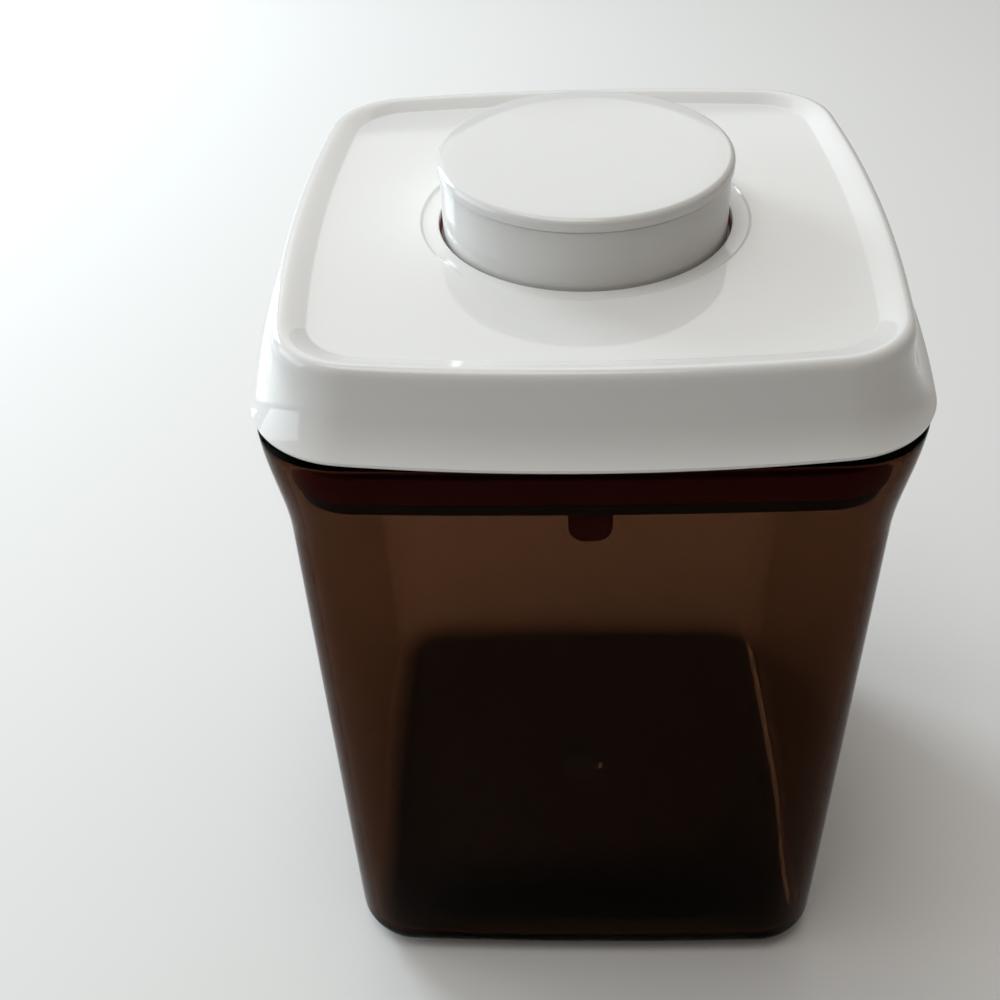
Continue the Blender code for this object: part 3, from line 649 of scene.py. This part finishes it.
# The plug: its gasket with a pull tab, the lid's base and the tray
def build_gasket(finish):
    outer = seal_gap
    band = seal_gap + gasket_band
    lip = band + gasket_lip_reach
    section = rounded(
        [
            (outer, gasket_under),
            (outer, gasket_top),
            (lip, gasket_top),
            (lip, gasket_top - gasket_lip),
            (band, gasket_top - gasket_lip),
            (band, gasket_under + gasket_lip),
            (lip, gasket_under + gasket_lip),
            (lip, gasket_under),
        ],
        gasket_bead,
    )
    rings = [mouth_ring(clearance, z) for clearance, z in section]
    piece = lofted("gasket_band", "lid", rings + rings[:1], finish)
    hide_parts("gasket")


def build_pull_tab(finish):
    """The gasket's tab: a strap through the tray, and a thick round knob to pull it by."""
    low = gasket_low.z
    top = tray_low.z - touch
    mouth = body_section(tray_low.z)[0] - wall
    face = mouth - tray_gap - (tray_rim - tab_thickness) / 2
    half = tab_width / 2
    right = [(half, top)]
    right += [(half - inset, low + rise) for inset, rise in reversed(fillet(tab_round, steps=13))]
    outline = right + [(-x, z) for x, z in reversed(right)]
    knob = slab("pull_tab", outline, -face - touch, tab_depth, finish)
    soft = knob.modifiers.new("soft_edge", "BEVEL")
    soft.width = tab_soft_edge
    soft.segments = 6
    soft.limit_method = "ANGLE"
    soft.angle_limit = tab_soft_angle
    strap_top = gasket_under + gasket_lip / 2
    strap_low = (low + top) / 2
    corners = [(-half, strap_low), (half, strap_low), (half, strap_top), (-half, strap_top)]
    strap = slab("pull_strap", corners, -face, tab_thickness, finish)
    strap.hide_render = True
    joined = knob.modifiers.new("strap", "BOOLEAN")
    joined.operation = "UNION"
    joined.object = strap
    piece = made_plain(knob, "pull_tab", "lid")
    bpy.data.objects.remove(strap)


def smooth_copy(node, name, rings, finish):
    """A copy of one of the plug's CAD nodes, cut to a block that gives it a smooth outline."""
    mesh = nodes[node].data.copy()
    mesh.materials.clear()
    mesh.materials.append(finish)
    tidy_mesh(mesh)
    obj = new_object(name, mesh)
    block = lofted(f"{name}_outline", "lid", rings, finish)
    outline = obj.modifiers.new("outline", "BOOLEAN")
    outline.operation = "INTERSECT"
    outline.object = block
    piece = made_plain(obj, name, "lid")
    for face in piece.data.polygons:
        face.use_smooth = abs(face.normal.z) < level_normal
    bpy.data.objects.remove(block)
    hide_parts(node)


def build_plug(finish):
    """The lid's base and its tray, the two black parts that show when the lid is off."""
    inset = wall + tray_gap + plug_trim
    under = tray_low.z + plug_trim
    over = tray_high.z + touch
    tray = [
        circle(0.0, under),
        circle(pole_radius, under),
        jar_ring(tray_low.z, inset + tray_edge + edge_hold, under),
    ]
    for reach, rise in fillet(tray_edge, steps=7):
        tray.append(jar_ring(tray_low.z, inset + reach, under + rise))
    tray += [jar_ring(tray_low.z, inset, over), circle(pole_radius, over), circle(0.0, over)]
    smooth_copy("plug_tray", "tray_shell", tray, finish)

    under = base_low.z - touch
    over = base_high.z + touch
    flange_foot = jar_top + touch - plug_trim
    base = [
        circle(0.0, under),
        circle(pole_radius, under),
        jar_ring(gasket_under, inset, under),
        jar_ring(gasket_under, inset, flange_foot),
        lid_ring(lid_half, flange_foot),
        lid_ring(lid_half, over),
        circle(pole_radius, over),
        circle(0.0, over),
    ]
    smooth_copy("lid_base", "base_shell", base, finish)


# The return spring between the base and the plunger, built at one fixed length
def coil_tree():
    """A wire along a path of its own points, with round ends."""
    inputs = {"Path": "Geometry", "Wire Radius": "Float", "Finish": "Material"}
    tree, given = open_group("coiled_wire", inputs, "Wire")
    line = tree.add("GeometryNodeMeshToCurve", sockets={"Mesh": given["Path"]})
    round_wire = tree.add(
        "GeometryNodeCurvePrimitiveCircle",
        {"mode": "RADIUS"},
        {"Resolution": spring_wire_sides, "Radius": given["Wire Radius"]},
    )
    swept = tree.add(
        "GeometryNodeCurveToMesh",
        sockets={"Curve": line, "Profile Curve": round_wire, "Fill Caps": True},
    )
    return close_group(tree, swept, given["Finish"])


def build_spring(finish):
    low = spring_low.z + spring_wire / 2
    high = spring_high.z - spring_wire / 2
    rise = high - low - 2 * spring_end_rise
    radius = spring_high.x - spring_wire / 2
    path = []
    for i in range(spring_turns * spring_points_a_turn + 1):
        turn = i / spring_points_a_turn
        if turn < 1:
            z = low + spring_end_rise * turn
        elif turn > spring_turns - 1:
            z = high - spring_end_rise * (spring_turns - turn)
        else:
            z = low + spring_end_rise + rise * (turn - 1) / (spring_turns - 2)
        angle = turn * 2 * math.pi
        path.append((radius * math.cos(angle), radius * math.sin(angle), z))
    mesh = bpy.data.meshes.new("spring_path")
    mesh.from_pydata(path, [(i, i + 1) for i in range(len(path) - 1)], [])
    obj = new_object("spring_path", mesh)
    modifier = obj.modifiers.new("coil", "NODES")
    modifier.node_group = coil_tree()
    set_inputs(modifier, {"Wire Radius": spring_wire / 2, "Finish": finish})
    piece = made_plain(obj, "coil_spring", "lid")
    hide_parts("return_spring")
    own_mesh(piece)


# Materials
class Finish(Tree):
    """A material around one Principled shader, on Object coordinates."""

    def __init__(self, name, **constants):
        self.material = bpy.data.materials.new(name)
        self.material.use_nodes = True
        super().__init__(self.material.node_tree)
        self.shader = self.tree.nodes["Principled BSDF"]
        self.output = self.tree.nodes["Material Output"]
        self.place = self.add("ShaderNodeTexCoord", out="Object")
        for socket, value in constants.items():
            self.feed(self.shader.inputs[socket.replace("_", " ")], value)

    def set(self, socket, value):
        self.feed(self.shader.inputs[socket], value)

    def noise(self, scale, detail=3.0, roughness=0.55, stretch=(1, 1, 1)):
        place = self.place
        if stretch != (1, 1, 1):
            place = self.add("ShaderNodeMapping", sockets={"Vector": place, "Scale": stretch})
        return self.add(
            "ShaderNodeTexNoise",
            sockets={"Vector": place, "Scale": scale, "Detail": detail, "Roughness": roughness},
        )

    def ramp(self, value, *stops):
        return self.add("ShaderNodeValToRGB", {"stops": stops}, {"Fac": value})

    def mix(self, share, first, second):
        return self.add(
            "ShaderNodeMix",
            {"data_type": "RGBA"},
            {"Factor": share, 6: (*first, 1), 7: (*second, 1)},
            out=2,
        )

    def bump(self, height, depth, strength):
        bumped = self.add(
            "ShaderNodeBump", sockets={"Height": height, "Distance": depth, "Strength": strength}
        )
        self.set("Normal", bumped)
        return bumped


def smoke_plastic():
    """Clear smoke-brown plastic: tinted through its depth, with faint flow waves and smudges.

    Seen head on its walls mostly refract, and their gloss comes up towards the edges. The inner
    floor is glossy all over.
    """
    ior = 1.46
    clear = (1, 1, 1, 1)
    finish = Finish("smoke_clear_plastic", IOR=ior, Transmission_Weight=1.0, Base_Color=clear)
    smudge = finish.ramp(finish.noise(26, 5.0, 0.62), (0.42, 0.0), (0.72, 1.0))
    rough = 0.006 + smudge * 0.02
    finish.set("Roughness", rough)
    waves = finish.noise(9, 1.0) + finish.noise(55, 2.0) * 0.06
    bumped = finish.bump(waves, 0.0006, 0.25)
    through = finish.add(
        "ShaderNodeBsdfRefraction",
        sockets={"Color": clear, "Roughness": rough, "IOR": ior, "Normal": bumped},
    )
    edge_on = finish.add("ShaderNodeFresnel", sockets={"IOR": ior, "Normal": bumped})
    floor_gloss = finish.add("ShaderNodeAttribute", {"attribute_name": "floor_gloss"}, out="Fac")
    gloss = edge_on.math("MAXIMUM", floor_gloss)
    shader = Value(finish, finish.shader.outputs["BSDF"])
    both = finish.add("ShaderNodeMixShader", sockets={0: gloss, 1: through, 2: shader})
    finish.feed(finish.output.inputs["Surface"], both)
    absorbed = finish.add(
        "ShaderNodeVolumeAbsorption",
        sockets={"Color": (0.40, 0.19, 0.0, 1), "Density": 725.0},
    )
    finish.feed(finish.output.inputs["Volume"], absorbed)
    return finish.material


def white_plastic(name, colour, roughness):
    """Glossy moulded plastic with finger smudges, slow flow waves and a few fine specks."""
    finish = Finish(name, IOR=1.5, Subsurface_Weight=0.05, Subsurface_Scale=0.002)
    tone = finish.noise(14, 3.0)
    smudge = finish.ramp(finish.noise(38, 5.0, 0.62), (0.45, 0.0), (0.75, 1.0))
    speck = finish.ramp(finish.noise(900, 1.0, 0.4), (0.80, 0.0), (0.84, 1.0))
    darker = tuple(c * 0.985 for c in colour)
    finish.set("Base Color", finish.mix(tone * 0.7 + speck * 0.5, colour, darker))
    finish.set("Roughness", roughness + smudge * 0.03 + tone * 0.02)
    finish.bump(finish.noise(11, 1.0) + finish.noise(600, 2.0) * 0.02, 0.0004, 0.2)
    return finish.material


def moulded_plastic(name, colour, roughness, grain):
    """Plain moulded plastic with a fine spark-cut grain."""
    finish = Finish(name, IOR=1.5)
    tone = finish.noise(60, 4.0)
    fine = finish.noise(1500, 2.0, 0.7)
    paler = tuple(c * 1.35 for c in colour)
    finish.set("Base Color", finish.mix(tone, colour, paler))
    finish.set("Roughness", roughness + tone * 0.12)
    finish.bump(fine, grain, 0.5)
    return finish.material


def silicone():
    """Soft red silicone: even colour with cloudy depth, a dull skin and a little dust."""
    finish = Finish("red_silicone", IOR=1.41, Subsurface_Weight=0.12, Subsurface_Scale=0.0015)
    cloud = finish.noise(90, 3.0)
    dust = finish.ramp(finish.noise(700, 2.0), (0.62, 0.0), (0.70, 1.0))
    finish.set("Base Color", finish.mix(cloud, (0.30, 0.008, 0.014), (0.38, 0.012, 0.018)))
    finish.set("Roughness", 0.38 + cloud * 0.12 + dust * 0.15)
    finish.bump(finish.noise(1200, 2.0), 0.00003, 0.4)
    return finish.material


def bright_steel():
    """Plain bright steel wire and screws, drawn along their length."""
    finish = Finish("bright_steel", Metallic=1.0)
    drawn = finish.noise(800, 3.0, 0.6, (1, 1, 0.15))
    finish.set("Base Color", finish.mix(drawn, (0.46, 0.46, 0.47), (0.62, 0.62, 0.63)))
    finish.set("Roughness", 0.2 + drawn * 0.18)
    finish.bump(drawn, 0.00002, 0.4)
    return finish.material


# Stage
floor_radius = 6.0
floor_drop = 0.0002


def studio_floor():
    """A pale matt disc, just under the jar's foot."""
    bm = bmesh.new()
    bmesh.ops.create_circle(bm, cap_ends=True, segments=96, radius=floor_radius)
    mesh = bpy.data.meshes.new("floor")
    bm.to_mesh(mesh)
    bm.free()
    finish = Finish("pale_floor", IOR=1.45)
    tone = finish.noise(3.0, 3.0)
    finish.set("Base Color", finish.mix(tone, (0.815, 0.795, 0.770), (0.835, 0.815, 0.790)))
    finish.set("Roughness", 0.75 + tone * 0.1)
    mesh.materials.append(finish.material)
    obj = new_object("floor", mesh)
    obj.location.z = -floor_drop


def soft_light(name, place, target, size, power, colour):
    """A rectangular light in watts that faces a target."""
    data = bpy.data.lights.new(name, "AREA")
    data.shape = "RECTANGLE"
    data.size, data.size_y = size
    data.energy = power
    data.color = colour
    obj = new_object(name, data)
    obj.location = place
    away = Vector(target) - Vector(place)
    obj.rotation_euler = away.to_track_quat("-Z", "Y").to_euler()
    obj.visible_camera = False


def studio_world():
    """An even pale surround, brighter overhead and towards the window at the back left."""
    world = bpy.data.worlds.new("studio")
    world.use_nodes = True
    tree = Tree(world.node_tree)
    direction = tree.add("ShaderNodeTexCoord", out="Generated")
    towards = tree.add(
        "ShaderNodeVectorMath",
        {"operation": "DOT_PRODUCT"},
        {0: direction, 1: (-0.45, 0.60, 0.66)},
        out="Value",
    )
    shade = tree.add(
        "ShaderNodeValToRGB",
        {
            "stops": (
                (0.0, (0.050, 0.040, 0.032)),
                (0.35, (0.085, 0.070, 0.058)),
                (0.6, (0.15, 0.14, 0.13)),
                (0.8, (0.24, 0.24, 0.24)),
                (1.0, (0.34, 0.35, 0.36)),
            )
        },
        {"Fac": towards * 0.5 + 0.5},
    )
    background = world.node_tree.nodes["Background"]
    tree.feed(background.inputs["Color"], shade)
    background.inputs["Strength"].default_value = 1.35
    bpy.context.scene.world = world


def photo_camera():
    """The viewpoint fitted to the photograph, from the front and above."""
    place = Vector((-0.0065122, -0.2492155, 0.323887))
    yaw, pitch, roll = -0.0586, 0.7010, -0.0479
    focal_px, frame_px = 1265.3534, 1000
    forward = Vector(
        (
            math.sin(yaw) * math.cos(pitch),
            math.cos(yaw) * math.cos(pitch),
            -math.sin(pitch),
        )
    )
    right = Vector((math.cos(yaw), -math.sin(yaw), 0))
    up = right.cross(forward)
    right, up = (
        right * math.cos(roll) + up * math.sin(roll),
        up * math.cos(roll) - right * math.sin(roll),
    )
    data = bpy.data.cameras.new("photo_camera")
    data.sensor_width = 36
    data.lens = data.sensor_width * focal_px / frame_px
    data.shift_x = -0.0006
    data.shift_y = -0.0065
    data.clip_start = 0.01
    obj = new_object("photo_camera", data)
    obj.matrix_world = Matrix(
        (
            (right.x, up.x, -forward.x, place.x),
            (right.y, up.y, -forward.y, place.y),
            (right.z, up.z, -forward.z, place.z),
            (0, 0, 0, 1),
        )
    )
    bpy.context.scene.camera = obj


def build_stage():
    studio_floor()
    studio_world()
    window_white = (0.80, 0.92, 1.0)
    room_white = (1.0, 0.995, 0.96)
    soft_light("window", (-0.92, 0.85, 0.52), (0, 0, 0.1), (0.42, 0.62), 11.0, window_white)
    soft_light("side", (-1.2, 0.0, 0.45), (0, 0, 0.15), (0.9, 0.7), 4.5, window_white)
    soft_light("sky", (-0.08, 1.0, 0.98), (0, 0, 0.19), (1.05, 0.68), 2.2, room_white)
    soft_light("overhead", (-0.2, -0.08, 1.25), (0, 0, 0.1), (0.8, 0.6), 4.7, room_white)
    photo_camera()
    bpy.context.scene.view_settings.view_transform = "Standard"


def paint_nodes(names, finish):
    for name in names:
        for slot in nodes[name].material_slots:
            slot.material = finish


def main():
    smoke = smoke_plastic()
    lid_white = white_plastic("lid_white", (0.80, 0.79, 0.77), 0.03)
    button_white = white_plastic("button_white", (0.765, 0.76, 0.74), 0.05)
    black = moulded_plastic("black_plastic", (0.014, 0.013, 0.013), 0.38, 0.00004)
    grey = moulded_plastic("grey_acetal", (0.30, 0.30, 0.31), 0.42, 0.00003)
    red = silicone()
    steel = bright_steel()
    build_jar(smoke)
    build_lid(lid_white)
    build_button(button_white, red)
    build_gasket(red)
    build_pull_tab(red)
    build_plug(black)
    build_spring(steel)
    pushers = [f"pusher_{side}" for side in ("right", "back", "left", "front")]
    paint_nodes(["plunger", "heart_plate", *pushers], grey)
    screws = [name for name in nodes if "_screw_" in name]
    paint_nodes(["latch_wire", *screws], steel)
    build_stage()


main()
